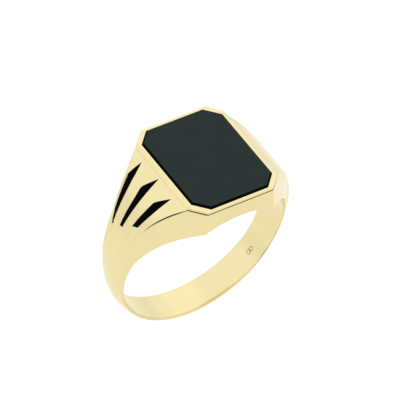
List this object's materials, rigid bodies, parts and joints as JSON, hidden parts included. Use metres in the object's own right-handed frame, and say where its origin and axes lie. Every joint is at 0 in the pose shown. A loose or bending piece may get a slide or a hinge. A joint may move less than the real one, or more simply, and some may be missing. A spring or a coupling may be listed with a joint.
{
  "type": "signet ring",
  "caption": "Gold signet ring with a flat octagonal black onyx in a thin frame, three black enamel rays let into one shoulder, and a plain shank.",
  "frame": {"origin": "centre of the finger hole, on the finger's axis and half way through the ring", "axes": "+Y along the finger towards the back of the head, +Z from the finger out through the stone, +X across the shoulders"},
  "size_m": [0.021, 0.0138, 0.0228],
  "materials": {
    "gold": null,
    "onyx": "polished flat black onyx",
    "enamel": "glossy black vitreous enamel",
    "cement": "dull setting cement, hidden under the stone"
  },
  "bodies": {
    "root": {"ring_body": "gold", "bezel_frame": "gold", "onyx_plate": "onyx", "cement_bed": "cement", "enamel_back": "enamel", "enamel_middle": "enamel", "enamel_front": "enamel"}
  },
  "joints": []
}
